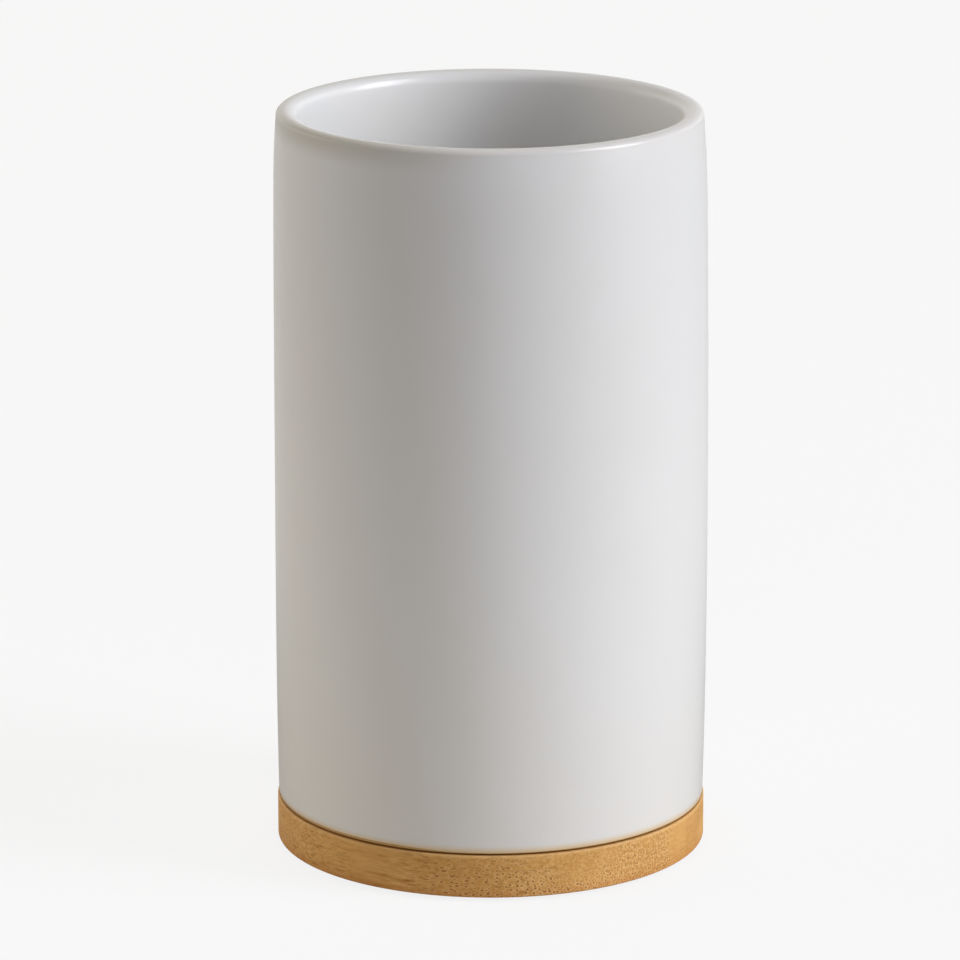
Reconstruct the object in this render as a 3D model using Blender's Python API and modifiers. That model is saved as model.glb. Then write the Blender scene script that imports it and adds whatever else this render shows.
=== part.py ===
# Toothbrush holder: an open glazed ceramic cup whose stepped foot stands in a turned bamboo base.
# Metres, +Z up. The origin is on the table, under the centre of the base. The front is -Y.

import math

import bmesh
import bpy
from mathutils import Vector

# Bamboo base: a turned disc with a pocket on top and four blind holes below.
base_diameter = 0.0700
base_height = 0.0070
base_edge_radius = 0.0003
pocket_depth = 0.0034
pocket_edge = 0.0003

# Ceramic cup, measured on the glaze. Its height runs from the shoulder over the base to the lip.
# The base stands proud of the heel by the ledge, and the lip is drawn in from the heel.
cup_height = 0.1137
base_ledge = 0.00025
lip_draw = 0.00035
cup_belly = 0.00058
cup_wall = 0.0035
cup_floor = 0.0050
heel_radius = 0.0005
lip_outer_radius = 0.0012
lip_inner_radius = 0.0017
inside_corner_radius = 0.0070

# Unglazed foot ring under the cup, set in from the heel by the shoulder, and the hollow inside it.
shoulder_width = 0.00375
foot_width = 0.0042
foot_edge_radius = 0.0004
foot_hollow_rise = 0.0004

# Silicone ring under the foot.
ring_width = 0.0034
ring_thickness = 0.0009
ring_edge_radius = 0.0002

# Silicone pads under the base.
pad_count = 4
pad_diameter = 0.0090
pad_thickness = 0.0016
pad_stand = 0.0006
pad_edge_radius = 0.0003
pad_rim_distance = 0.0110
pad_first_angle_turns = 1 / 8

# Fits.
touch_gap = 0.0003
foot_clearance = 0.0004
ring_clearance = 0.0003
pad_clearance = 0.0002
cutter_overrun = 0.0020
merge_distance = 0.00001

# Fineness of the turned shapes.
turn_steps = 80
pad_steps = 32
wall_steps = 9
bore_steps = 5
lip_steps = 6
corner_steps = 6
edge_steps = 3
smooth_angle = math.radians(35)

# Heights, from the table up.
base_underside = pad_stand
base_top = base_underside + base_height
pocket_floor = base_top - pocket_depth
ring_bottom = pocket_floor + touch_gap
ring_top = ring_bottom + ring_thickness
foot_bottom = ring_top + touch_gap
shoulder = base_top + touch_gap
lip_top = shoulder + cup_height
foot_hollow_top = shoulder + foot_hollow_rise
bore_floor = foot_hollow_top + cup_floor
pad_hole_top = pad_thickness + touch_gap

# Radii.
base_radius = base_diameter / 2
heel_outer = base_radius - base_ledge
lip_outer = heel_outer - lip_draw
foot_outer = heel_outer - shoulder_width
foot_inner = foot_outer - foot_width
pocket_radius = foot_outer + foot_clearance
ring_outer = pocket_radius - ring_clearance
ring_inner = ring_outer - ring_width
pad_radius = pad_diameter / 2
pad_hole_radius = pad_radius + pad_clearance
pad_reach = base_radius - pad_rim_distance

# Heights between which the cup's wall bellies out.
wall_low = shoulder + heel_radius
wall_high = lip_top - lip_outer_radius
bore_high = lip_top - lip_inner_radius
bore_low = bore_floor + inside_corner_radius


def wall_radius(height):
    """Outer radius of the cup's wall: a straight taper from heel to lip, and a low arch on it."""
    share = (height - shoulder) / cup_height
    return heel_outer + (lip_outer - heel_outer) * share + cup_belly * 4 * share * (1 - share)


def bore_radius(height):
    return wall_radius(height) - cup_wall


def arc(centre, radius, start_turns, end_turns, steps):
    """Points of an arc in the profile's plane, both ends included."""
    points = []
    for step in range(steps + 1):
        angle = 2 * math.pi * (start_turns + (end_turns - start_turns) * step / steps)
        points.append((centre[0] + radius * math.cos(angle), centre[1] + radius * math.sin(angle)))
    return points


def side(radius_at, start, end, steps):
    """Points up or down a wall, without its two ends."""
    heights = [start + (end - start) * step / steps for step in range(1, steps)]
    return [(radius_at(height), height) for height in heights]


def cup_profile():
    """From the middle of the bore's floor up the inside, over the lip, and down to the foot."""
    corner_centre = (bore_radius(bore_low) - inside_corner_radius, bore_low)
    inner_lip_centre = (bore_radius(bore_high) + lip_inner_radius, bore_high)
    outer_lip_centre = (wall_radius(wall_high) - lip_outer_radius, wall_high)
    heel_centre = (wall_radius(wall_low) - heel_radius, wall_low)
    foot_out_centre = (foot_outer - foot_edge_radius, foot_bottom + foot_edge_radius)
    foot_in_centre = (foot_inner + foot_edge_radius, foot_bottom + foot_edge_radius)
    points = [(0, bore_floor)]
    points += arc(corner_centre, inside_corner_radius, -1 / 4, 0, corner_steps)
    points += side(bore_radius, bore_low, bore_high, bore_steps)
    points += arc(inner_lip_centre, lip_inner_radius, 1 / 2, 1 / 4, lip_steps)
    points += arc(outer_lip_centre, lip_outer_radius, 1 / 4, 0, lip_steps)
    points += side(wall_radius, wall_high, wall_low, wall_steps)
    points += arc(heel_centre, heel_radius, 0, -1 / 4, edge_steps)
    points += [(foot_outer, shoulder)]
    points += arc(foot_out_centre, foot_edge_radius, 0, -1 / 4, edge_steps)
    points += arc(foot_in_centre, foot_edge_radius, -1 / 4, -1 / 2, edge_steps)
    points += [(foot_inner, foot_hollow_top), (0, foot_hollow_top)]
    return points


def base_profile():
    """From the middle of the pocket's floor up its wall, over the rim, and down to the underside."""
    inset = base_radius - base_edge_radius
    points = [(0, pocket_floor), (pocket_radius, pocket_floor)]
    points += [(pocket_radius, base_top - pocket_edge), (pocket_radius + pocket_edge, base_top)]
    points += arc((inset, base_top - base_edge_radius), base_edge_radius, 1 / 4, 0, edge_steps)
    points += arc((inset, base_underside + base_edge_radius), base_edge_radius, 0, -1 / 4, edge_steps)
    points += [(0, base_underside)]
    return points


def ring_profile():
    """The ring's rounded section: down its outer side, in below, up its inner side and out above."""
    inner = ring_inner + ring_edge_radius
    outer = ring_outer - ring_edge_radius
    low = ring_bottom + ring_edge_radius
    high = ring_top - ring_edge_radius
    points = arc((outer, high), ring_edge_radius, 1 / 4, 0, edge_steps)
    points += arc((outer, low), ring_edge_radius, 0, -1 / 4, edge_steps)
    points += arc((inner, low), ring_edge_radius, -1 / 4, -1 / 2, edge_steps)
    points += arc((inner, high), ring_edge_radius, 1 / 2, 1 / 4, edge_steps)
    return points


def pad_profile():
    """A flat disc with a rounded lower edge, drawn about its own axis, from the table up."""
    inset = pad_radius - pad_edge_radius
    points = [(0, pad_thickness), (pad_radius, pad_thickness)]
    points += arc((inset, pad_edge_radius), pad_edge_radius, 0, -1 / 4, edge_steps)
    points += [(0, 0)]
    return points


def clear_scene():
    for thing in list(bpy.data.objects):
        bpy.data.objects.remove(thing, do_unlink=True)


def new_collection(name):
    collection = bpy.data.collections.new(name)
    bpy.context.scene.collection.children.link(collection)
    return collection


def new_material(name, colour, roughness, metallic=0.0):
    material = bpy.data.materials.new(name)
    material.use_nodes = True
    shader = material.node_tree.nodes["Principled BSDF"]
    shader.inputs["Base Color"].default_value = (*colour, 1.0)
    shader.inputs["Roughness"].default_value = roughness
    shader.inputs["Metallic"].default_value = metallic
    material.diffuse_color = (*colour, 1.0)
    return material


def turned_mesh(name, profile, closed, steps):
    """A profile turned once about Z by a Screw modifier, made a mesh and shaded smooth."""
    shape = bmesh.new()
    corners = [shape.verts.new(Vector((radius, 0, height))) for radius, height in profile]
    for first, second in zip(corners, corners[1:]):
        shape.edges.new((first, second))
    if closed:
        shape.edges.new((corners[-1], corners[0]))
    outline = bpy.data.meshes.new(name + "_outline")
    shape.to_mesh(outline)
    shape.free()

    lathe = bpy.data.objects.new(name + "_lathe", outline)
    bpy.context.scene.collection.objects.link(lathe)
    screw = lathe.modifiers.new("Turn", "SCREW")
    screw.axis = "Z"
    screw.angle = 2 * math.pi
    screw.steps = steps
    screw.render_steps = steps
    screw.use_merge_vertices = True
    screw.merge_threshold = merge_distance
    graph = bpy.context.evaluated_depsgraph_get()
    mesh = bpy.data.meshes.new_from_object(lathe.evaluated_get(graph))
    bpy.data.objects.remove(lathe, do_unlink=True)
    bpy.data.meshes.remove(outline)

    mesh.name = name
    mesh.shade_smooth()
    mesh.set_sharp_from_angle(angle=smooth_angle)
    return mesh


def add_part(name, mesh, material, collection, parent, location=(0, 0, 0)):
    part = bpy.data.objects.new(name, mesh)
    if not mesh.materials:
        mesh.materials.append(material)
    collection.objects.link(part)
    part.parent = parent
    part.location = location
    return part


def add_pivot(name, collection):
    """An empty that carries one of the two bodies."""
    pivot = bpy.data.objects.new(name, None)
    pivot.empty_display_size = base_radius
    collection.objects.link(pivot)
    return pivot


def pad_places():
    """Centre of each pad on its circle, at table height."""
    places = []
    for index in range(pad_count):
        angle = 2 * math.pi * (pad_first_angle_turns + index / pad_count)
        places.append((pad_reach * math.cos(angle), pad_reach * math.sin(angle), 0))
    return places


def build_cup(collection, parent):
    glaze = new_material("off_white_glaze", (0.80, 0.79, 0.76), 0.16)
    mesh = turned_mesh("ceramic_cup", cup_profile(), False, turn_steps)
    return add_part("ceramic_cup", mesh, glaze, collection, parent)


def build_base(collection, cutters, parent):
    bamboo = new_material("caramel_bamboo", (0.52, 0.31, 0.13), 0.55)
    mesh = turned_mesh("bamboo_base", base_profile(), False, turn_steps)
    base = add_part("bamboo_base", mesh, bamboo, collection, parent)
    drill_top = pad_hole_top
    drill_bottom = base_underside - cutter_overrun
    for index, place in enumerate(pad_places(), start=1):
        bpy.ops.mesh.primitive_cylinder_add(
            vertices=pad_steps,
            radius=pad_hole_radius,
            depth=drill_top - drill_bottom,
            location=(place[0], place[1], (drill_top + drill_bottom) / 2),
        )
        drill = bpy.context.object
        drill.name = f"pad_hole_{index}"
        drill.hide_render = True
        drill.display_type = "WIRE"
        for holder in list(drill.users_collection):
            holder.objects.unlink(drill)
        cutters.objects.link(drill)
        cut = base.modifiers.new(f"Pad hole {index}", "BOOLEAN")
        cut.operation = "DIFFERENCE"
        cut.solver = "EXACT"
        cut.object = drill
    return base


def build_ring(collection, parent):
    clear_silicone = new_material("clear_silicone", (0.74, 0.74, 0.71), 0.35)
    mesh = turned_mesh("seat_ring", ring_profile(), True, turn_steps)
    return add_part("seat_ring", mesh, clear_silicone, collection, parent)


def build_pads(collection, parent):
    grey_silicone = new_material("pad_silicone", (0.62, 0.62, 0.60), 0.5)
    mesh = turned_mesh("foot_pad", pad_profile(), False, pad_steps)
    pads = []
    for index, place in enumerate(pad_places(), start=1):
        pads.append(add_part(f"foot_pad_{index}", mesh, grey_silicone, collection, parent, place))
    return pads


def main():
    clear_scene()
    holder = new_collection("toothbrush_holder")
    cutters = new_collection("cutters")
    cutters.hide_render = True
    base_body = add_pivot("base_body", holder)
    cup_body = add_pivot("cup_body", holder)
    build_base(holder, cutters, base_body)
    build_ring(holder, base_body)
    build_pads(holder, base_body)
    build_cup(holder, cup_body)
    bpy.context.view_layer.update()


main()
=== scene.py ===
import math

import bpy
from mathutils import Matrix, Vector


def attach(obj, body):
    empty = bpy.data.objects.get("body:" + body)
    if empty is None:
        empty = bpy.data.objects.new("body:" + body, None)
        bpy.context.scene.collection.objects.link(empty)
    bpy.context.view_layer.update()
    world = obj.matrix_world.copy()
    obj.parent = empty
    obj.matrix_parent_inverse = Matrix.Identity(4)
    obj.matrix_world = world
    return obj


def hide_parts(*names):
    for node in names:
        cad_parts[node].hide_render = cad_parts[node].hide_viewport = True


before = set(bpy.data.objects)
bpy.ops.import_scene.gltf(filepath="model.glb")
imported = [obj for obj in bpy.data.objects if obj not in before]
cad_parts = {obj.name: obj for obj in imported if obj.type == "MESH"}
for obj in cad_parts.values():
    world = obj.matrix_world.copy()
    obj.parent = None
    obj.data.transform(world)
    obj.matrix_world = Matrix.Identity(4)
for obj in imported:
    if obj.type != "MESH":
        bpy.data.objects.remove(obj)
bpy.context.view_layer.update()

# Toothbrush holder: a glazed tumbler whose foot stands in a turned bamboo base.
# Metres, Z up, origin on the table under the base's centre. The photograph's front is -Y.
# An entry that ends in Ramp holds where something starts and where it is full.
# A noise is written as its size, its detail and, if that isn't a half, its roughness.

mm = 0.001
fullTurn = 2 * math.pi
quarterTurn = fullTurn / 4


# A socket that takes plain arithmetic: an expression on it adds Math nodes.
class Wire:
    def __init__(self, graph, node, socket):
        self.graph = graph
        self.node = node
        self.socket = socket

    def out(self, key):  # another output of the same node
        return Wire(self.graph, self.node, self.node.outputs[key])

    def maths(self, operation, *others):
        return self.graph.maths(operation, self, *others)

    def __add__(self, other):
        return self.graph.maths("ADD", self, other)

    def __radd__(self, other):
        return self.graph.maths("ADD", other, self)

    def __sub__(self, other):
        return self.graph.maths("SUBTRACT", self, other)

    def __rsub__(self, other):
        return self.graph.maths("SUBTRACT", other, self)

    def __mul__(self, other):
        return self.graph.maths("MULTIPLY", self, other)

    def __rmul__(self, other):
        return self.graph.maths("MULTIPLY", other, self)

    def __truediv__(self, other):
        return self.graph.maths("DIVIDE", self, other)

    def __rtruediv__(self, other):
        return self.graph.maths("DIVIDE", other, self)


# One node tree, for a shader or for geometry.
class Graph:
    def __init__(self, tree):
        self.tree = tree

    def add(self, kind, settings=None, sockets=None, out=0):
        node = self.tree.nodes.new(kind)
        for name, value in (settings or {}).items():
            setattr(node, name, value)
        for name, value in (sockets or {}).items():
            for each in value if isinstance(value, list) else [value]:
                if isinstance(each, Wire):
                    self.tree.links.new(each.socket, node.inputs[name])
                else:
                    node.inputs[name].default_value = each
        return Wire(self, node, node.outputs[out] if node.outputs else None)

    def maths(self, operation, *values):
        return self.add("ShaderNodeMath", {"operation": operation}, dict(enumerate(values)))

    def ease(self, value, ramp):  # 0 where the ramp starts, 1 where it ends, soft at both
        start, end = ramp
        return self.add(
            "ShaderNodeMapRange",
            {"interpolation_type": "SMOOTHSTEP"},
            {"Value": value, "From Min": start, "From Max": end},
        )

    def blend(self, factor, first, second):  # two colours
        return self.add(
            "ShaderNodeMix",
            {"data_type": "RGBA", "blend_type": "MIX", "clamp_result": True},
            {0: factor, 6: first, 7: second},
            out=2,
        )

    def vector(self, x, y, z):
        return self.add("ShaderNodeCombineXYZ", {}, {"X": x, "Y": y, "Z": z})

    def parts(self, vector):
        split = self.add("ShaderNodeSeparateXYZ", {}, {0: vector})
        return split.out("X"), split.out("Y"), split.out("Z")

    def length(self, vector):
        return self.add("ShaderNodeVectorMath", {"operation": "LENGTH"}, {0: vector}, "Value")

    def noise(self, place, size, detail, roughness=0.5):
        return self.add(
            "ShaderNodeTexNoise",
            {},
            {"Vector": place, "Scale": 1 / size, "Detail": detail, "Roughness": roughness},
        )


def atLeast(least, share):  # a share that never falls under the least
    return least + (1 - least) * share


def newMaterial(name):
    material = bpy.data.materials.new(name)
    material.use_nodes = True
    material.node_tree.nodes.clear()
    return material, Graph(material.node_tree)


def finishMaterial(graph, sockets, heights):  # the heights, in metres, are laid one over another
    normal = {}
    for height in heights:
        inputs = {"Height": height, "Strength": 1.0, "Distance": 1.0, **normal}
        normal = {"Normal": graph.add("ShaderNodeBump", {}, inputs)}
    shader = graph.add("ShaderNodeBsdfPrincipled", {}, {**sockets, **normal})
    graph.add("ShaderNodeOutputMaterial", {}, {"Surface": shader})


def objectPlace(graph):  # the place on the piece, in metres
    return graph.add("ShaderNodeTexCoord", {}, {}, "Object")


def rgba(red, green, blue):
    return (red, green, blue, 1.0)


# A Geometry Nodes tree whose sizes are named inputs, and the wires of those inputs.
def newShapeTree(name, sizes):
    tree = bpy.data.node_groups.new(name, "GeometryNodeTree")
    graph = Graph(tree)
    for label, value in sizes.items():
        kind = "NodeSocketInt" if isinstance(value, int) else "NodeSocketFloat"
        tree.interface.new_socket(name=label, in_out="INPUT", socket_type=kind)
    tree.interface.new_socket(name="Shape", in_out="OUTPUT", socket_type="NodeSocketGeometry")
    entry = graph.add("NodeGroupInput")
    return graph, {label: entry.out(label) for label in sizes}


def endShapeTree(graph, shape, material):
    shape = graph.add("GeometryNodeRealizeInstances", {}, {"Geometry": shape})
    shape = graph.add("GeometryNodeSetMaterial", {}, {"Geometry": shape, "Material": material})
    graph.add("NodeGroupOutput", {}, {"Shape": shape})


# The tree's result as a plain mesh at the origin, with sharp edges where the surface turns hard.
def bakeShape(name, graph, sizes, material, sharpDegrees):
    piece = bpy.data.objects.new(name, bpy.data.meshes.new(name + "Host"))
    bpy.context.scene.collection.objects.link(piece)
    shaper = piece.modifiers.new("Shape", "NODES")
    shaper.node_group = graph.tree
    for item in graph.tree.interface.items_tree:
        if item.in_out == "INPUT":
            shaper[item.identifier] = sizes[item.name]
    evaluated = piece.evaluated_get(bpy.context.evaluated_depsgraph_get())
    mesh = bpy.data.meshes.new_from_object(evaluated)
    piece.modifiers.remove(shaper)
    piece.data = mesh
    mesh.name = name
    mesh.materials.clear()  # the tree leaves an empty slot before its own
    mesh.materials.append(material)
    mesh.polygons.foreach_set("material_index", [0] * len(mesh.polygons))
    mesh.shade_smooth()
    mesh.set_sharp_from_angle(angle=math.radians(sharpDegrees))
    return piece


mergeWithin = 0.002 * mm


# A turned shape. Each stretch of its profile is a grid bent round Z, given as its number of
# steps and a function from the share along it, 0 to 1, to radius and height.
def turn(graph, sides, stretches):
    sheets = []
    for steps, outline in stretches:
        sheet = graph.add(
            "GeometryNodeMeshGrid",
            {},
            {"Size X": 1.0, "Size Y": 1.0, "Vertices X": sides + 1, "Vertices Y": steps + 1},
        )
        x, y, _ = graph.parts(graph.add("GeometryNodeInputPosition"))
        angle = (x + 0.5) * fullTurn
        radius, height = outline(y + 0.5)
        spot = graph.vector(radius * angle.maths("COSINE"), radius * angle.maths("SINE"), height)
        bent = graph.add("GeometryNodeSetPosition", {}, {"Geometry": sheet, "Position": spot})
        sheets.append(bent)
    joined = graph.add("GeometryNodeJoinGeometry", {}, {"Geometry": sheets[::-1]})
    sockets = {"Geometry": joined, "Distance": mergeWithin}
    return graph.add("GeometryNodeMergeByDistance", {}, sockets)


def straight(start, end):  # both are (radius, height)
    return lambda share: (
        start[0] + (end[0] - start[0]) * share,
        start[1] + (end[1] - start[1]) * share,
    )


def arc(centre, radius, startTurns, endTurns, rise=None):  # rise: its half height, if not round
    def outline(share):
        angle = (share * (endTurns - startTurns) + startTurns) * fullTurn
        across = angle.maths("COSINE") * radius
        up = angle.maths("SINE") * (rise or radius)
        return centre[0] + across, centre[1] + up

    return outline


print("tumbler glaze")

glaze = {
    "colour": rgba(0.797, 0.797, 0.780),
    "cloud": (22 * mm, 3.0),  # slow unevenness of the firing
    "cloudRise": 1.2 * mm,  # how far the clouds shift the bands up and down
    "warmColour": rgba(0.785, 0.765, 0.725),  # where the glaze lies thin over the clay
    "warmRamp": (0.42, 0.70),
    "warmShare": 0.35,
    "lowColour": rgba(0.750, 0.728, 0.670),  # warmer and darker down the wall
    "lowRamp": (48 * mm, 8 * mm),
    "lowShare": 0.25,
    "lipColour": rgba(0.785, 0.762, 0.725),  # where it has run off the lip
    "lipRamp": (120.2 * mm, 121.2 * mm),
    "lipSpanRamp": (32.0 * mm, 33.2 * mm),
    "paintedLipShadeColour": rgba(0.610, 0.590, 0.515),  # painted shade round the left of the lip, the side away from the key light
    "paintedLipShadeRamp": (117.0 * mm, 121.0 * mm),
    "paintedLipShadeSpanRamp": (32.0 * mm, 33.6 * mm),
    "paintedLipShadeSideRamp": (4 * mm, -30 * mm),  # along X
    "heelColour": rgba(0.720, 0.540, 0.300),  # a warmer band low on the heel, just over the bare foot
    "heelRamp": (9.35 * mm, 7.90 * mm),
    "heelRise": 0.3 * mm,
    "paintedHeelShadeColour": rgba(0.480, 0.270, 0.080),  # painted shade on the turn under the heel, in the seam over the base
    "paintedHeelShadeRamp": (8.14 * mm, 7.94 * mm),
    "paintedHeelShadeShare": 0.90,
    "paintedHeelShadeSideRamp": (-4 * mm, -16 * mm),  # along X: the painted shade stands higher on the left, away from the key light
    "paintedHeelShadeSideRise": 0.30 * mm,
    "roughness": 0.25,
    "roughnessSpread": 0.05,
    "ripple": (9 * mm, 1.0),  # long soft waves of the fired surface
    "rippleHeight": 0.010 * mm,
    "peel": (1.1 * mm, 2.0),
    "peelHeight": 0.0012 * mm,
    "ior": 1.5,
    # The bare stoneware of the foot.
    "clayColour": rgba(0.520, 0.400, 0.260),
    "clayDark": rgba(0.360, 0.255, 0.150),
    "grit": (0.35 * mm, 3.0, 0.7),
    "gritRamp": (0.50, 0.72),
    "gritHeight": 0.04 * mm,
    "edge": (2.5 * mm, 2.0),  # the glaze ends on a wavy line
    "edgeRise": 0.25 * mm,
    "edgeDrop": 0.12 * mm,
    "edgeRamp": (7.77 * mm, 7.67 * mm),
    "clayRoughness": 0.86,
}


def makeGlaze():
    material, graph = newMaterial("offWhiteGlaze")
    place = objectPlace(graph)
    x, y, z = graph.parts(place)
    span = graph.length(graph.vector(x, y, 0.0))
    cloud = graph.noise(place, *glaze["cloud"])
    ripple = graph.noise(place, *glaze["ripple"])
    peel = graph.noise(place, *glaze["peel"])
    warm = graph.ease(cloud, glaze["warmRamp"]) * glaze["warmShare"]
    glazed = graph.blend(warm, glaze["colour"], glaze["warmColour"])
    level = z + (cloud - 0.5) * glaze["cloudRise"]
    low = graph.ease(level, glaze["lowRamp"]) * glaze["lowShare"]
    glazed = graph.blend(low, glazed, glaze["lowColour"])
    run = graph.ease(level, glaze["lipRamp"]) * graph.ease(span, glaze["lipSpanRamp"])
    glazed = graph.blend(run, glazed, glaze["lipColour"])
    # Painted shade round the left of the lip and just under it.
    shade = graph.ease(level, glaze["paintedLipShadeRamp"]) * graph.ease(span, glaze["paintedLipShadeSpanRamp"])
    shade = shade * graph.ease(x, glaze["paintedLipShadeSideRamp"])
    glazed = graph.blend(shade, glazed, glaze["paintedLipShadeColour"])
    heelBand = graph.ease(z + (cloud - 0.5) * glaze["heelRise"], glaze["heelRamp"])
    glazed = graph.blend(heelBand, glazed, glaze["heelColour"])
    # Painted shade in the seam under the heel, reaching higher on the left.
    higher = graph.ease(x, glaze["paintedHeelShadeSideRamp"]) * glaze["paintedHeelShadeSideRise"]
    heelShade = graph.ease(z - higher, glaze["paintedHeelShadeRamp"]) * glaze["paintedHeelShadeShare"]
    glazed = graph.blend(heelShade, glazed, glaze["paintedHeelShadeColour"])

    grit = graph.noise(place, *glaze["grit"])
    gritty = graph.ease(grit, glaze["gritRamp"])
    stoneware = graph.blend(gritty, glaze["clayColour"], glaze["clayDark"])
    edge = graph.noise(place, *glaze["edge"]) * glaze["edgeRise"] - glaze["edgeDrop"]
    bare = graph.ease(z + edge, glaze["edgeRamp"])
    satin = glaze["roughness"] + (cloud - 0.5) * glaze["roughnessSpread"]
    finishMaterial(
        graph,
        {
            "Base Color": graph.blend(bare, glazed, stoneware),
            "Roughness": satin + bare * (glaze["clayRoughness"] - glaze["roughness"]),
            "IOR": glaze["ior"],
        },
        [
            ripple * glaze["rippleHeight"],
            peel * glaze["peelHeight"] + grit * bare * glaze["gritHeight"],
        ],
    )
    return material


print("tumbler")

tumbler = {
    "Sides": 192,
    "Shoulder": 7.82 * mm,
    "Lip Top": 121.60 * mm,
    "Heel Radius": 34.80 * mm,
    "Lip Radius": 34.45 * mm,
    "Belly": 0.47 * mm,
    "Wall": 3.50 * mm,
    "Heel Round": 0.35 * mm,
    "Shrug": 0.34 * mm,  # how far the wall draws in under the lip
    "Shrug Height": 11.0 * mm,
    "Lip Outer Round": 1.35 * mm,
    "Lip Outer Rise": 0.92 * mm,
    "Lip Inner Round": 2.10 * mm,
    "Lip Inner Rise": 2.15 * mm,
    "Lip Inner Power": 2 / 3,  # 1 would make it an ellipse; less eases it into the bore
    "Corner Round": 7.00 * mm,
    "Bore Floor": 13.30 * mm,
    "Hollow Top": 8.30 * mm,
    "Foot Bottom": 5.70 * mm,
    "Foot Outer": 31.00 * mm,
    "Foot Inner": 26.80 * mm,
    "Foot Edge": 0.40 * mm,
    "Bow": 0.10 * mm,  # towards +X at mid height
    "Lean": -0.20 * mm,  # of the lip, along X
    "Waver": 0.05 * mm,  # slow unevenness of a cast and fired wall
    "Waver Size": 45 * mm,
    "Waver Detail": 1.0,
    "Waver From": 12 * mm,  # under this height the foot and heel stay true
    "Waver Full": 30 * mm,
    "Seed": 7,
    "Hollow Steps": 14,  # how many rings of faces each stretch has
    "Foot Edge Steps": 6,
    "Foot Side Steps": 3,
    "Foot Face Steps": 4,
    "Foot Corner Steps": 4,
    "Shoulder Steps": 4,
    "Heel Steps": 10,
    "Wall Steps": 56,
    "Lip Outer Steps": 14,
    "Crest Steps": 1,
    "Lip Inner Steps": 20,
    "Bore Steps": 44,
    "Corner Steps": 14,
    "Floor Steps": 12,
}


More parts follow.
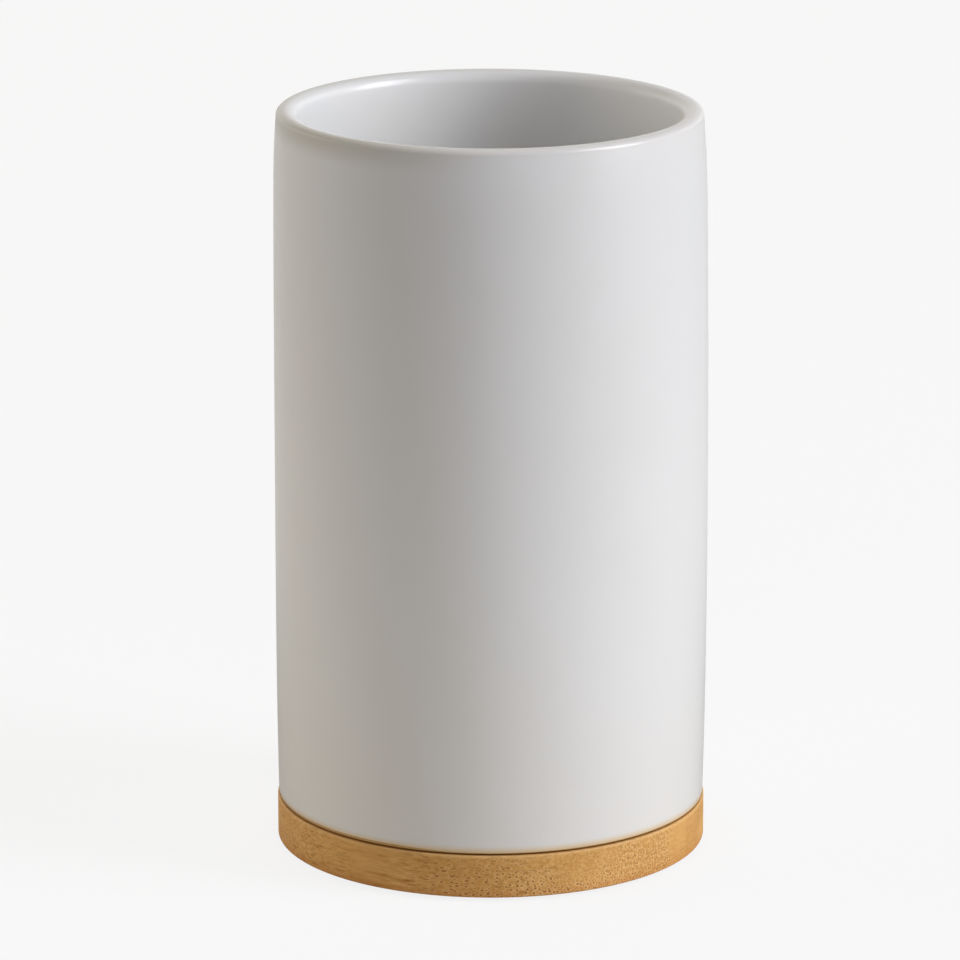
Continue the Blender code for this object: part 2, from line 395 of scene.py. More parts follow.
def makeTumbler():
    graph, size = newShapeTree("tumblerShape", tumbler)
    shoulder = size["Shoulder"]
    lipTop = size["Lip Top"]

    def wallAt(height):  # a straight taper and a low arch on it, flat along its middle
        share = (height - shoulder) / (lipTop - shoulder)
        taper = size["Heel Radius"] + (size["Lip Radius"] - size["Heel Radius"]) * share
        off = (share * 2 - 1).maths("ABSOLUTE")
        near = ((height - lipTop) / size["Shrug Height"] + 1).maths("MAXIMUM", 0.0)
        return taper + size["Belly"] * (1 - off * off * off) - size["Shrug"] * near * near

    def boreAt(height):
        return wallAt(height) - size["Wall"]

    def upWall(radiusAt, start, end):
        def outline(share):
            height = start + (end - start) * share
            return radiusAt(height), height

        return outline

    def flow(share):  # from the crest into the bore, easing into the straight wall
        angle = share * quarterTurn
        across = size["Lip Inner Round"] * angle.maths("SINE")
        fall = angle.maths("COSINE").maths("POWER", size["Lip Inner Power"])
        return innerLip[0] - across, boreHigh + size["Lip Inner Rise"] * fall

    wallLow = shoulder + size["Heel Round"]
    wallHigh = lipTop - size["Lip Outer Rise"]
    boreHigh = lipTop - size["Lip Inner Rise"]
    boreLow = size["Bore Floor"] + size["Corner Round"]
    boreFloor = size["Bore Floor"]
    heelCentre = (wallAt(wallLow) - size["Heel Round"], wallLow)
    outerLip = (wallAt(wallHigh) - size["Lip Outer Round"], wallHigh)
    innerLip = (boreAt(boreHigh) + size["Lip Inner Round"], boreHigh)
    corner = (boreAt(boreLow) - size["Corner Round"], boreLow)
    edge = size["Foot Edge"]
    footBottom = size["Foot Bottom"]
    footLow = footBottom + edge
    footIn = size["Foot Inner"]
    footOut = size["Foot Outer"]
    hollow = size["Hollow Top"]
    notch = edge / 2  # the small round where the foot meets the shoulder

    shape = turn(
        graph,
        size["Sides"],
        [
            (size["Hollow Steps"], straight((0.0, hollow), (footIn - edge, hollow))),
            (size["Foot Edge Steps"], arc((footIn - edge, hollow - edge), edge, 1 / 4, 0)),
            (size["Foot Side Steps"], straight((footIn, hollow - edge), (footIn, footLow))),
            (size["Foot Edge Steps"], arc((footIn + edge, footLow), edge, -1 / 2, -1 / 4)),
            (
                size["Foot Face Steps"],
                straight((footIn + edge, footBottom), (footOut - edge, footBottom)),
            ),
            (size["Foot Edge Steps"], arc((footOut - edge, footLow), edge, -1 / 4, 0)),
            (size["Foot Side Steps"], straight((footOut, footLow), (footOut, shoulder - notch))),
            (
                size["Foot Corner Steps"],
                arc((footOut + notch, shoulder - notch), notch, 1 / 2, 1 / 4),
            ),
            (
                size["Shoulder Steps"],
                straight((footOut + notch, shoulder), (heelCentre[0], shoulder)),
            ),
            (size["Heel Steps"], arc(heelCentre, size["Heel Round"], -1 / 4, 0)),
            (size["Wall Steps"], upWall(wallAt, wallLow, wallHigh)),
            (
                size["Lip Outer Steps"],
                arc(outerLip, size["Lip Outer Round"], 0, 1 / 4, size["Lip Outer Rise"]),
            ),
            (size["Crest Steps"], straight((outerLip[0], lipTop), (innerLip[0], lipTop))),
            (size["Lip Inner Steps"], flow),
            (size["Bore Steps"], upWall(boreAt, boreHigh, boreLow)),
            (size["Corner Steps"], arc(corner, size["Corner Round"], 0, -1 / 4)),
            (size["Floor Steps"], straight((corner[0], boreFloor), (0.0, boreFloor))),
        ],
    )

    place = graph.add("GeometryNodeInputPosition")
    normal = graph.add("GeometryNodeInputNormal")
    waver = graph.add(
        "ShaderNodeTexNoise",
        {"noise_dimensions": "4D"},
        {
            "Vector": place,
            "W": size["Seed"],
            "Scale": 1 / size["Waver Size"],
            "Detail": size["Waver Detail"],
        },
    )
    _, _, height = graph.parts(place)
    share = (height - shoulder) / (lipTop - shoulder)
    high = graph.ease(height, (size["Waver From"], size["Waver Full"]))
    push = (waver - 0.5) * 2 * size["Waver"] * high
    along = graph.add("ShaderNodeVectorMath", {"operation": "SCALE"}, {0: normal, "Scale": push})
    sway = size["Bow"] * 4 * share * (1 - share)  # the 4 makes it whole at mid height
    sway = sway + size["Lean"] * share * share * share * high
    sideways = graph.vector(sway, 0.0, 0.0)
    offset = graph.add("ShaderNodeVectorMath", {"operation": "ADD"}, {0: along, 1: sideways})
    shape = graph.add("GeometryNodeSetPosition", {}, {"Geometry": shape, "Offset": offset})
    material = makeGlaze()
    endShapeTree(graph, shape, material)
    return bakeShape("glazed_tumbler", graph, tumbler, material, sharpDegrees=50)


glazedTumbler = makeTumbler()
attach(glazedTumbler, "cup")
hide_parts("ceramic_cup")


print("bamboo")

bamboo = {
    "grainDegrees": 58,  # fibre direction, from -Y towards +X
    "radius": 35 * mm,
    "boardLow": 0.6 * mm,
    "boardHigh": 7.6 * mm,
    "pale": rgba(0.700, 0.386, 0.122),
    "ground": rgba(0.588, 0.303, 0.079),
    "deep": rgba(0.400, 0.165, 0.030),
    "dot": rgba(0.260, 0.085, 0.010),
    "halo": rgba(0.840, 0.560, 0.250),
    "skin": rgba(0.520, 0.190, 0.045),  # the reddish outer layer of the cane, at the underside
    "roughness": 0.52,
    "cellRoughness": 0.25,
    "rimRoughness": 0.15,
    "ior": 1.47,
    "specular": 0.25,
    # Where the fibres run, crowd and thin out. The strips lie across the board.
    "sideSpanRamp": (34.1 * mm, 34.6 * mm),
    "drift": (14 * mm, 2.0),  # how they wander on their way through the board
    "driftSquash": 0.2,
    "driftAcross": 0.7 * mm,
    "driftUp": 0.25 * mm,
    "denseLeftRamp": (-19 * mm, -13 * mm),  # a strip whose fibres crowd up to its top
    "denseRightRamp": (0 * mm, -5 * mm),
    "sparseRamp": (-4 * mm, 2 * mm),  # right of it they are few
    "coarseRamp": (-24 * mm, -29 * mm),  # at the far left they are larger and fewer
    "crowdLift": 1.3,
    "denseDrop": 0.40,
    "sparseLift": 0.60,
    "coarseDrop": 0.45,
    "skinwardRamp": (0.85, 0.15),
    "cutRamp": (0.0, 0.10),  # of the share of end grain
    "farRamp": (-0.10, -0.30),  # of the facing: the side turned away shows less
    "farShare": 0.65,
    # The bundles' ends: a dark rim round a small hollow, with a pale halo.
    "bundleSpacing": 0.60 * mm,
    "bundleRandomness": 0.90,
    "bundleSquash": 0.85,
    "bundleLeast": 0.65,  # the smallest one's size, and how much chance adds to it
    "bundleSpread": 0.55,
    "bundleCoarseShrink": 0.20,
    "bundleDenseShrink": 0.15,
    "bundleSpotRamp": (0.190 * mm, 0.110 * mm),
    "hollowRamp": (0.110 * mm, 0.030 * mm),
    "hollowShare": 0.20,
    "hollowCoarse": 0.25,
    "hollowDepth": 0.85,
    "haloInnerRamp": (0.140 * mm, 0.200 * mm),
    "haloOuterRamp": (0.340 * mm, 0.230 * mm),
    "bundlePickRamp": (0.30, 0.75),
    "bundlePickSkinward": 0.9,
    "bundlePickCoarse": 0.40,
    "bundleLeastCut": 0.06,
    "bundleLeastSkinward": 0.12,
    "bundleDenseShown": 0.20,
    "haloShare": 0.60,
    "haloCoarse": 0.25,
    "rimShare": 0.65,
    "rimCoarse": 0.10,
    "rimDepth": 0.012 * mm,
    # Finer dots between the bundles, and pale flecks between the dots.
    "fineSpacing": 0.46 * mm,
    "fineOffset": 3.1 * mm,
    "fineSpotRamp": (0.130 * mm, 0.050 * mm),
    "finePickRamp": (0.20, 0.50),
    "finePickDense": 0.25,
    "fineLevelRamp": (0.75, 0.05),
    "fineLeastLevel": 0.10,
    "fineLeastCut": 0.35,
    "fineShare": 0.45,
    "fineShareDense": 0.10,
    "fineDepth": 0.008 * mm,
    "fleckRamp": (0.200 * mm, 0.300 * mm),
    "fleckLeastCut": 0.30,
    "fleckShare": 0.35,
    "fleckDense": 0.08,
    # The tissue between: each noise starts with its stretch across, up and along the fibres.
    "crowd": (1.0, 0.6, 0.3, 5 * mm, 2.0),
    "broad": (1.0, 1.0, 0.12, 7 * mm, 2.0),
    "broadRamp": (0.30, 0.72),
    "streak": (0.9, 0.9, 0.055, 1.3 * mm, 3.0, 0.6),
    "streakRamp": (0.52, 0.78),
    "streakShare": 0.22,
    "streakHeight": 0.03 * mm,
    "thread": (1.0, 1.0, 0.08, 0.55 * mm, 2.0, 0.6),
    "threadDarkRamp": (0.52, 0.64),
    "threadPaleRamp": (0.46, 0.34),
    "threadPaleShare": 0.60,
    "patchRamp": (0.38, 0.60),
    "patchLeast": 0.35,
    "patchShare": 0.60,
    "patchCoarse": 0.35,
    "patchSparse": 0.55,  # how far streaks and flecks fade where the fibres are few
    "cells": (1.0, 1.0, 0.25, 0.16 * mm, 2.0, 0.6),
    "cellRamp": (0.50, 0.75),
    "cellShare": 0.18,
    "cellHeight": 0.010 * mm,
    "skinRamp": (0.35, -0.10),
    "skinShare": 0.55,
    # A painted highlight along the upper edge, painted shade in a dark line by the seam, and fine
    # rings left by the turning tool.
    "paintedEdgeHighlightRamp": (7.05 * mm, 7.40 * mm),
    "paintedEdgeHighlightShare": 0.35,
    "paintedGapShadeRamp": (7.54 * mm, 7.60 * mm),
    "paintedGapShadeSpanRamp": (34.70 * mm, 34.45 * mm),
    "paintedGapShadeShare": 0.75,
    "ringRamp": (6.7 * mm, 6.0 * mm),
    "ringSpanRamp": (31.6 * mm, 31.2 * mm),
    "ringPitch": 0.35 * mm,
    "ringHeight": 0.006 * mm,
}


def makeBamboo():
    material, graph = newMaterial("caramelBamboo")
    ease = graph.ease
    blend = graph.blend
    x, y, z = graph.parts(objectPlace(graph))
    span = graph.length(graph.vector(x, y, 0.0))
    angle = math.radians(bamboo["grainDegrees"])
    along = x * math.sin(angle) - y * math.cos(angle)
    across = x * math.cos(angle) + y * math.sin(angle)

    # Fibres end as dots where the side cuts across them, and run as faint streaks elsewhere.
    facing = along / bamboo["radius"]
    endGrain = facing * facing * ease(span, bamboo["sideSpanRamp"])

    squash = bamboo["driftSquash"]
    driftPlace = graph.vector(across * squash, along, z * squash)
    drift = graph.noise(driftPlace, *bamboo["drift"]) - 0.5
    across = across + drift * bamboo["driftAcross"]
    rise = z + drift * bamboo["driftUp"]
    up = (z - bamboo["boardLow"]) / (bamboo["boardHigh"] - bamboo["boardLow"])

    def stretched(name):
        sideways, upward, lengthways, *grain = bamboo[name]
        place = graph.vector(across * sideways, rise * upward, along * lengthways)
        return graph.noise(place, *grain)

    def bundles(spacing, offset):  # the distance to the nearest one, and its two random shares
        cell = graph.add(
            "ShaderNodeTexVoronoi",
            {"voronoi_dimensions": "2D", "feature": "F1"},
            {
                "Vector": graph.vector(across + offset, rise * bamboo["bundleSquash"], 0.0),
                "Scale": 1 / spacing,
                "Randomness": bamboo["bundleRandomness"],
            },
        )
        chance = graph.add("ShaderNodeSeparateColor", {}, {0: cell.out("Color")})
        return cell.out("Distance") * spacing, chance.out("Red"), chance.out("Green")

    # Bundles crowd and darken towards the skin of the cane, which is the board's underside.
    crowd = stretched("crowd")
    dense = ease(across, bamboo["denseLeftRamp"]) * ease(across, bamboo["denseRightRamp"])
    sparse = ease(across, bamboo["sparseRamp"])
    coarse = ease(across, bamboo["coarseRamp"])
    level = up + (0.5 - crowd) * bamboo["crowdLift"] - dense * bamboo["denseDrop"]
    level = level + sparse * bamboo["sparseLift"] - coarse * bamboo["coarseDrop"]
    skinward = ease(level, bamboo["skinwardRamp"])
    reach, pick, wide = bundles(bamboo["bundleSpacing"], 0.0)
    shrink = 1 - coarse * bamboo["bundleCoarseShrink"] - dense * bamboo["bundleDenseShrink"]
    reach = reach / ((bamboo["bundleLeast"] + wide * bamboo["bundleSpread"]) * shrink)
    hollowShare = bamboo["hollowShare"] + bamboo["hollowCoarse"] * coarse
    hollow = ease(reach, bamboo["hollowRamp"]) * hollowShare
    rim = ease(reach, bamboo["bundleSpotRamp"]) * (1 - hollow * bamboo["hollowDepth"])
    halo = ease(reach, bamboo["haloInnerRamp"]) * ease(reach, bamboo["haloOuterRamp"])
    picked = pick + skinward * bamboo["bundlePickSkinward"] + coarse * bamboo["bundlePickCoarse"]
    present = ease(picked, bamboo["bundlePickRamp"])
    far = ease(facing, bamboo["farRamp"])
    cut = ease(endGrain, bamboo["cutRamp"]) * (1 - bamboo["farShare"] * far)
    shown = atLeast(bamboo["bundleLeastCut"], cut) * present
    shown = shown * (1 - dense * bamboo["bundleDenseShown"])
    weight = atLeast(bamboo["bundleLeastSkinward"], skinward) * shown
    rim = rim * weight
    halo = halo * weight

    fineReach, finePick, _ = bundles(bamboo["fineSpacing"], bamboo["fineOffset"])
    finePick = finePick + dense * bamboo["finePickDense"]
    fine = ease(fineReach, bamboo["fineSpotRamp"]) * ease(finePick, bamboo["finePickRamp"])
    fine = fine * atLeast(bamboo["fineLeastLevel"], ease(level, bamboo["fineLevelRamp"]))
    fine = fine * atLeast(bamboo["fineLeastCut"], endGrain)
    fleck = ease(fineReach, bamboo["fleckRamp"]) * atLeast(bamboo["fleckLeastCut"], endGrain)

    # Ground tissue: long pale and deep streaks, and fine cells between.
    streak = stretched("streak")
    thread = stretched("thread")
    broad = stretched("broad")
    cells = stretched("cells")
    plain = 1 - sparse * bamboo["patchSparse"]
    patch = atLeast(bamboo["patchLeast"], ease(crowd, bamboo["patchRamp"])) * plain
    patch = patch * (bamboo["patchShare"] + coarse * bamboo["patchCoarse"])
    threadPale = ease(thread, bamboo["threadPaleRamp"]) * patch * bamboo["threadPaleShare"]
    fleckShare = bamboo["fleckShare"] + dense * bamboo["fleckDense"]
    haloShare = bamboo["haloShare"] - coarse * bamboo["haloCoarse"]
    rimShare = bamboo["rimShare"] + coarse * bamboo["rimCoarse"]
    fineShare = bamboo["fineShare"] + dense * bamboo["fineShareDense"]
    # Painted highlight along the board's upper edge.
    edgeHighlight = ease(z, bamboo["paintedEdgeHighlightRamp"])
    # Painted shade on the board's top in the gap under the cup.
    gapShade = ease(z, bamboo["paintedGapShadeRamp"]) * ease(span, bamboo["paintedGapShadeSpanRamp"])
    colour = blend(ease(broad, bamboo["broadRamp"]), bamboo["ground"], bamboo["pale"])
    for share, coat in (
        (ease(streak, bamboo["streakRamp"]) * bamboo["streakShare"], "deep"),
        (ease(thread, bamboo["threadDarkRamp"]) * patch, "deep"),
        (threadPale, "halo"),
        (fleck * plain * fleckShare, "halo"),
        (ease(cells, bamboo["cellRamp"]) * bamboo["cellShare"], "deep"),
        (ease(up, bamboo["skinRamp"]) * bamboo["skinShare"], "skin"),
        (halo * haloShare, "halo"),
        (rim * rimShare, "dot"),
        (fine * fineShare, "dot"),
        # painted highlight on the upper edge, in the halo colour
        (edgeHighlight * bamboo["paintedEdgeHighlightShare"], "halo"),
        # painted shade in the gap, in the deep colour
        (gapShade * bamboo["paintedGapShadeShare"], "deep"),
    ):
        colour = blend(share, colour, bamboo[coat])

    # Fine rings left by the turning tool on the level faces.
    flat = ease(z, bamboo["ringRamp"]) * ease(span, bamboo["ringSpanRamp"])
    rings = (span * (fullTurn / bamboo["ringPitch"])).maths("SINE") * flat

    worn = (cells - 0.5) * bamboo["cellRoughness"] + rim * bamboo["rimRoughness"]
    finishMaterial(
        graph,
        {
            "Base Color": colour,
            "Roughness": bamboo["roughness"] + worn,
            "IOR": bamboo["ior"],
            "Specular IOR Level": bamboo["specular"],
        },
        [
            rings * bamboo["ringHeight"],
            rim * -bamboo["rimDepth"] - fine * bamboo["fineDepth"],
            cells * bamboo["cellHeight"] + streak * bamboo["streakHeight"],
        ],
    )
    return material


base = {
    "Sides": 192,
    "Radius": 35.00 * mm,
    "Underside": 0.60 * mm,
    "Top": 7.60 * mm,
    "Edge": 0.30 * mm,
    "Pocket Floor": 4.20 * mm,
    "Pocket Radius": 31.40 * mm,
    "Pocket Edge": 0.30 * mm,
    "Hole Count": 4,
    "Hole Reach": 24.00 * mm,
    "Hole Radius": 4.70 * mm,
    "Hole Top": 1.90 * mm,
    "Hole Flare": 0.20 * mm,
    "Hole Sides": 64,
    "Drill Overrun": 2.00 * mm,
    "Underside Steps": 20,
    "Edge Steps": 8,
    "Side Steps": 12,
    "Rim Steps": 4,
    "Pocket Edge Steps": 6,
    "Pocket Side Steps": 6,
    "Pocket Floor Steps": 20,
    "Drill Face Steps": 4,
    "Drill Shank Steps": 1,
    "Drill Flare Steps": 4,
    "Drill Side Steps": 3,
}


# Points on a circle about Z, the first an eighth of a turn round.
def ringOfPoints(graph, count, reach):
    circle = graph.add("GeometryNodeMeshCircle", {}, {"Vertices": count, "Radius": reach})
    eighth = (0.0, 0.0, fullTurn / 8)
    return graph.add("GeometryNodeTransform", {}, {"Geometry": circle, "Rotation": eighth})


def makeBase():
    graph, size = newShapeTree("baseShape", base)
    low = size["Underside"]
    top = size["Top"]
    edge = size["Edge"]
    radius = size["Radius"]
    inset = radius - edge
    pocket = size["Pocket Radius"]
    lip = size["Pocket Edge"]
    floor = size["Pocket Floor"]
    disc = turn(
        graph,
        size["Sides"],
        [
            (size["Underside Steps"], straight((0.0, low), (inset, low))),
            (size["Edge Steps"], arc((inset, low + edge), edge, -1 / 4, 0)),
            (size["Side Steps"], straight((radius, low + edge), (radius, top - edge))),
            (size["Edge Steps"], arc((inset, top - edge), edge, 0, 1 / 4)),
            (size["Rim Steps"], straight((inset, top), (pocket + lip, top))),
            (size["Pocket Edge Steps"], arc((pocket + lip, top - lip), lip, 1 / 4, 1 / 2)),
            (size["Pocket Side Steps"], straight((pocket, top - lip), (pocket, floor))),
            (size["Pocket Floor Steps"], straight((pocket, floor), (0.0, floor))),
        ],
    )
    hole = size["Hole Radius"]
    holeTop = size["Hole Top"]
    flare = size["Hole Flare"]
    below = low - size["Drill Overrun"]
    drill = turn(
        graph,
        size["Hole Sides"],
        [
            (size["Drill Face Steps"], straight((0.0, below), (hole + flare, below))),
            (size["Drill Shank Steps"], straight((hole + flare, below), (hole + flare, low))),
            (size["Drill Flare Steps"], arc((hole + flare, low + flare), flare, -1 / 4, -1 / 2)),
            (size["Drill Side Steps"], straight((hole, low + flare), (hole, holeTop))),
            (size["Drill Face Steps"], straight((hole, holeTop), (0.0, holeTop))),
        ],
    )
    points = ringOfPoints(graph, size["Hole Count"], size["Hole Reach"])
    drills = graph.add("GeometryNodeInstanceOnPoints", {}, {"Points": points, "Instance": drill})
    drills = graph.add("GeometryNodeRealizeInstances", {}, {"Geometry": drills})
    shape = graph.add(
        "GeometryNodeMeshBoolean",
        {"operation": "DIFFERENCE", "solver": "EXACT"},
        {"Mesh 1": disc, "Mesh 2": drills},
    )
    material = makeBamboo()
    endShapeTree(graph, shape, material)
    return bakeShape("bamboo_disc", graph, base, material, sharpDegrees=35)


bambooDisc = makeBase()
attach(bambooDisc, "base")
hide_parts("bamboo_base")


print("silicone")

silicone = {
    "haze": (5 * mm, 3.0),
    "hazeRamp": (0.40, 0.65),
    "hazeRoughness": 0.3,
    "speck": (0.4 * mm, 2.0, 0.7),
    "speckRamp": (0.66, 0.74),
    "speckHeight": 0.008 * mm,
    "dustShare": 0.5,
    "ior": 1.41,
    "scatter": 0.25,
    "scatterReach": (1.2 * mm, 1.1 * mm, 1.0 * mm),
    "clearSilicone": {
        "colour": rgba(0.74, 0.74, 0.71),
        "dust": rgba(0.60, 0.59, 0.55),
        "roughness": 0.34,
    },
    "padSilicone": {
        "colour": rgba(0.62, 0.62, 0.60),
        "dust": rgba(0.50, 0.49, 0.46),
        "roughness": 0.50,
    },
}

seal = {
    "Sides": 160,
    "Inner": 27.70 * mm,
    "Outer": 31.10 * mm,
    "Bottom": 4.50 * mm,
    "Top": 5.40 * mm,
    "Edge": 0.25 * mm,
    "Grooves": 3,
    "Groove": 0.12 * mm,  # how deep they lie between the low ribs on its top
    "Edge Steps": 5,
    "Side Steps": 1,
    "Rib Steps": 30,
    "Underside Steps": 3,
}

pad = {
    "Sides": 64,
    "Count": 4,
    "Reach": 24.00 * mm,
    "Radius": 4.50 * mm,
    "Thickness": 1.60 * mm,
    "Edge": 0.35 * mm,
    "Grooves": 3,
    "Groove": 0.14 * mm,
    "Groove From": 0.72,  # of the wave that sets their width
    "Groove Full": 0.92,
    "Face Steps": 60,
    "Edge Steps": 8,
    "Side Steps": 4,
    "Top Steps": 6,
}


def makeSilicone(name):
    kind = silicone[name]
    material, graph = newMaterial(name)
    place = objectPlace(graph)
    haze = graph.noise(place, *silicone["haze"])
    speck = graph.noise(place, *silicone["speck"])
    tint = kind["colour"]
    for mask in (graph.ease(haze, silicone["hazeRamp"]), graph.ease(speck, silicone["speckRamp"])):
        tint = graph.blend(mask * silicone["dustShare"], tint, kind["dust"])
    finishMaterial(
        graph,
        {
            "Base Color": tint,
            "Roughness": kind["roughness"] + (haze - 0.5) * silicone["hazeRoughness"],
            "IOR": silicone["ior"],
            "Subsurface Weight": silicone["scatter"],
            "Subsurface Radius": silicone["scatterReach"],
            "Subsurface Scale": 1.0,
        },
        [speck * silicone["speckHeight"]],
    )
    return material


def waves(share, count):  # 0 at both ends and 1 in the middle of each wave
    return (1 - (share * count * fullTurn).maths("COSINE")) * 0.5


def makeSeal():
    graph, size = newShapeTree("sealShape", seal)
    edge = size["Edge"]
    bottom = size["Bottom"]
    inner = size["Inner"] + edge
    outer = size["Outer"] - edge
    low = bottom + edge
    high = size["Top"] - edge

    def ribbed(share):  # from the outer to the inner edge
        dip = waves(share, size["Grooves"]) * size["Groove"]
        return outer + (inner - outer) * share, size["Top"] - dip

    shape = turn(
        graph,
        size["Sides"],
        [
            (size["Edge Steps"], arc((outer, low), edge, -1 / 4, 0)),
            (size["Side Steps"], straight((size["Outer"], low), (size["Outer"], high))),
            (size["Edge Steps"], arc((outer, high), edge, 0, 1 / 4)),
            (size["Rib Steps"], ribbed),
            (size["Edge Steps"], arc((inner, high), edge, 1 / 4, 1 / 2)),
            (size["Side Steps"], straight((size["Inner"], high), (size["Inner"], low))),
            (size["Edge Steps"], arc((inner, low), edge, 1 / 2, 3 / 4)),
            (size["Underside Steps"], straight((inner, bottom), (outer, bottom))),
        ],
    )
    material = makeSilicone("clearSilicone")
    endShapeTree(graph, shape, material)
    return bakeShape("seat_seal", graph, seal, material, sharpDegrees=60)


def makePads():
    graph, size = newShapeTree("padShape", pad)
    edge = size["Edge"]
    radius = size["Radius"]
    inset = radius - edge
    thick = size["Thickness"]

    def face(share):  # the lower face, with rings pressed into it
        ramp = (size["Groove From"], size["Groove Full"])
        dip = graph.ease(waves(share, size["Grooves"]), ramp) * size["Groove"]
        return share * inset, dip

    one = turn(
        graph,
        size["Sides"],
        [
            (size["Face Steps"], face),
            (size["Edge Steps"], arc((inset, edge), edge, -1 / 4, 0)),
            (size["Side Steps"], straight((radius, edge), (radius, thick))),
            (size["Top Steps"], straight((radius, thick), (0.0, thick))),
        ],
    )
    points = ringOfPoints(graph, size["Count"], size["Reach"])
    shape = graph.add("GeometryNodeInstanceOnPoints", {}, {"Points": points, "Instance": one})
    material = makeSilicone("padSilicone")
    endShapeTree(graph, shape, material)
    return bakeShape("grip_pads", graph, pad, material, sharpDegrees=60)


seatSeal = makeSeal()
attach(seatSeal, "base")
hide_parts("seat_ring")

gripPads = makePads()
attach(gripPads, "base")
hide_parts("foot_pad_1", "foot_pad_2", "foot_pad_3", "foot_pad_4")


print("studio")

studio = {
    "background": rgba(0.9216, 0.9216, 0.9216),
    "ceiling": 0.30,  # the background's strength overhead, in the gloss
    "ceilingRamp": (0.24, 0.62),  # of the upward share of the direction
    "floorColour": rgba(0.84, 0.84, 0.84),
    "bounceColour": rgba(0.645, 0.600, 0.495),  # what the floor throws back at the object
    "farColour": rgba(0.0, 0.0, 0.0),
    "floorGlow": rgba(0.9960, 0.9960, 0.9960),
    "floorRadius": 6.0,
    "floorDrop": 0.05 * mm,  # a hair under the pads' faces
    "cardRamp": (0.42, 0.12),  # the floor throws back less and less light outwards
    "shadowShare": 0.15,  # how much of the floor's true shading the camera sees
    "mirroredNear": 0.30,  # the floor's brightness in the gloss, close by and far off
    "mirroredFar": 0.64,
    "mirroredRamp": (0.03, 0.25),
}

lamps = {
    "keySoftbox": {
        "mirrored": True,  # whether the gloss shows it
        "azimuth": 73,
        "elevation": 24,
        "distance": 3.0,
        "width": 1.5,
        "height": 2.4,
        "watts": 99.0,
        "colour": (0.925, 0.938, 1.000),
    },
    "leftFill": {
        "mirrored": False,
        "azimuth": -103,
        "elevation": 6,
        "distance": 3.0,
        "width": 4.5,
        "height": 4.5,
        "watts": 121.0,
        "colour": (1.000, 0.935, 0.855),
    },
    "frontFill": {
        "mirrored": False,
        "azimuth": 0,
        "elevation": 10,
        "distance": 3.0,
        "width": 3.0,
        "height": 3.0,
        "watts": 26.0,
        "colour": (0.910, 0.900, 1.000),
    },
    "topFill": {
        "mirrored": False,
        "azimuth": 180,
        "elevation": 62,
        "distance": 3.0,
        "width": 2.0,
        "height": 2.0,
        "watts": 15.0,
        "colour": (1.000, 0.920, 0.800),
    },
}

camera = {
    "distance": 0.9240,
    "elevation": 14.892,  # degrees
    "centreHeight": 60.6 * mm,
    "aimX": -1.77 * mm,
    "aimZ": 60.1 * mm,
    "lens": 213.55,
    "sensor": 36.0,
    "clipStart": 0.01,
    "clipEnd": 50.0,
}


# 1 where a ray from the camera meets the surface straight on, and 1 where it comes by a
# mirror or through glass. All other rays find it dark, so its glow lights nothing.
def seenRay(graph):
    path = graph.add("ShaderNodeLightPath")
    gloss = path.out("Is Glossy Ray") + path.out("Is Transmission Ray")
    return path.out("Is Camera Ray"), gloss.maths("MINIMUM", 1.0)


def makeWorld():
    world = bpy.data.worlds.new("studioAir")
    bpy.context.scene.world = world
    world.use_nodes = True
    world.node_tree.nodes.clear()
    graph = Graph(world.node_tree)
    _, _, height = graph.parts(graph.add("ShaderNodeTexCoord", {}, {}, "Generated"))
    overhead = 1 - graph.ease(height, studio["ceilingRamp"]) * (1 - studio["ceiling"])
    direct, gloss = seenRay(graph)
    sockets = {"Color": studio["background"], "Strength": direct + gloss * overhead}
    air = graph.add("ShaderNodeBackground", {}, sockets)
    graph.add("ShaderNodeOutputWorld", {}, {"Surface": air})


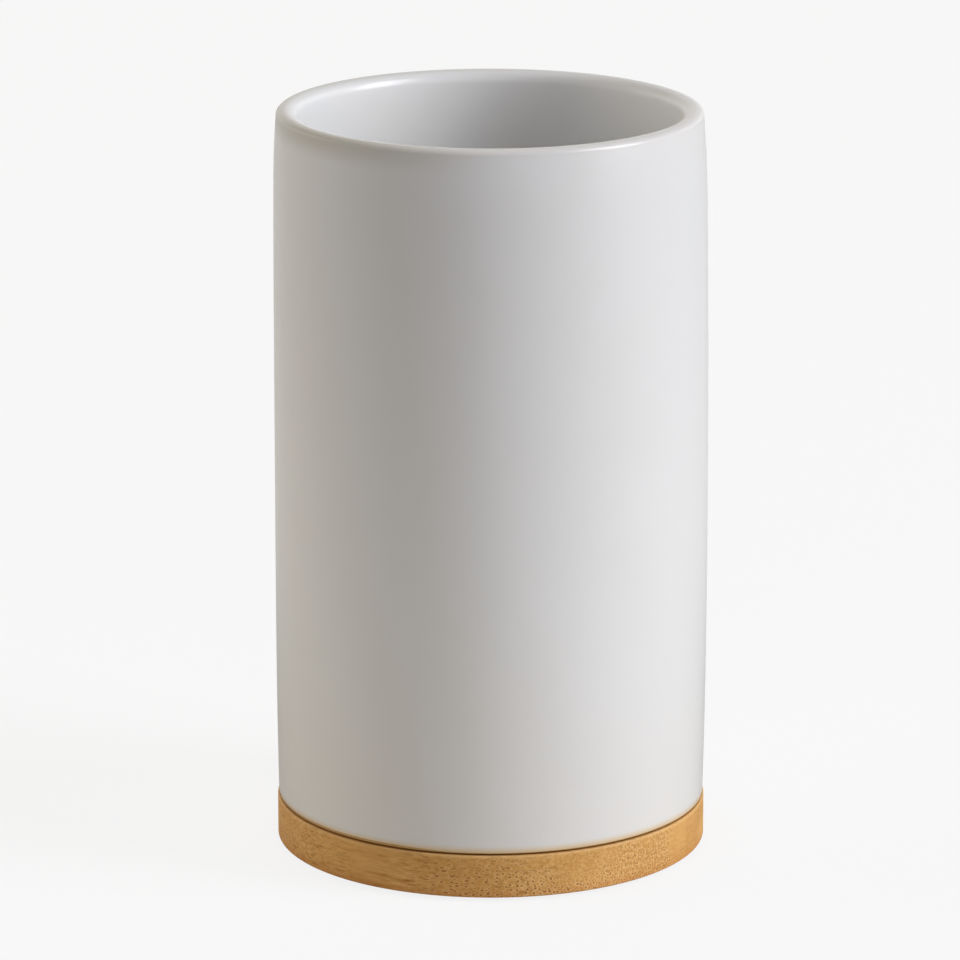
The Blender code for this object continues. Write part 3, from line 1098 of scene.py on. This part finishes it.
def makeFloor():
    material, graph = newMaterial("paleFloor")
    span = graph.length(objectPlace(graph))
    direct, gloss = seenRay(graph)
    card = graph.ease(span, studio["cardRamp"])
    bounce = graph.blend(card, studio["farColour"], studio["bounceColour"])
    colour = graph.blend(direct, bounce, studio["floorColour"])
    matte = graph.add("ShaderNodeBsdfDiffuse", {}, {"Color": colour})
    off = graph.ease(span, studio["mirroredRamp"])
    mirrored = off * (studio["mirroredFar"] - studio["mirroredNear"]) + studio["mirroredNear"]
    glow = {"Color": studio["floorGlow"], "Strength": direct + gloss * mirrored}
    flat = graph.add("ShaderNodeEmission", {}, glow)
    sockets = {0: direct * (1 - studio["shadowShare"]) + gloss, 1: matte, 2: flat}
    both = graph.add("ShaderNodeMixShader", {}, sockets)
    graph.add("ShaderNodeOutputMaterial", {}, {"Surface": both})
    mesh = bpy.data.meshes.new("floor")
    reach = studio["floorRadius"]
    square = [(-reach, -reach), (reach, -reach), (reach, reach), (-reach, reach)]
    corners = [(across, deep, -studio["floorDrop"]) for across, deep in square]
    mesh.from_pydata(corners, [], [(0, 1, 2, 3)])
    mesh.materials.append(material)
    floor = bpy.data.objects.new("floor", mesh)
    bpy.context.scene.collection.objects.link(floor)


def around(azimuth, elevation, distance, centre):  # azimuth 0 is in front, at -Y
    bearing = math.radians(azimuth)
    climb = math.radians(elevation)
    right = math.sin(bearing) * math.cos(climb)
    front = math.cos(bearing) * math.cos(climb)
    return centre + Vector((right, -front, math.sin(climb))) * distance


# Turns a lamp or camera, which looks along its own -Z, and puts it in the scene.
def aimAt(thing, target):
    thing.rotation_euler = (target - thing.location).to_track_quat("-Z", "Y").to_euler()
    bpy.context.scene.collection.objects.link(thing)


def makeLamps(centre):
    for name, lamp in lamps.items():
        data = bpy.data.lights.new(name, "AREA")
        data.shape = "RECTANGLE"
        data.size = lamp["width"]
        data.size_y = lamp["height"]
        data.energy = lamp["watts"]
        data.color = lamp["colour"]
        box = bpy.data.objects.new(name, data)
        box.location = around(lamp["azimuth"], lamp["elevation"], lamp["distance"], centre)
        box.visible_glossy = lamp["mirrored"]
        aimAt(box, centre)


def makeCamera(centre):
    data = bpy.data.cameras.new("photoCamera")
    data.sensor_width = camera["sensor"]
    data.lens = camera["lens"]
    data.clip_start = camera["clipStart"]
    data.clip_end = camera["clipEnd"]
    eye = bpy.data.objects.new("photoCamera", data)
    eye.location = around(0, camera["elevation"], camera["distance"], centre)
    aimAt(eye, Vector((camera["aimX"], 0, camera["aimZ"])))
    bpy.context.scene.camera = eye


middle = Vector((0, 0, camera["centreHeight"]))
makeWorld()
makeFloor()
makeLamps(middle)
makeCamera(middle)
bpy.context.scene.view_settings.view_transform = "Standard"

print("done")
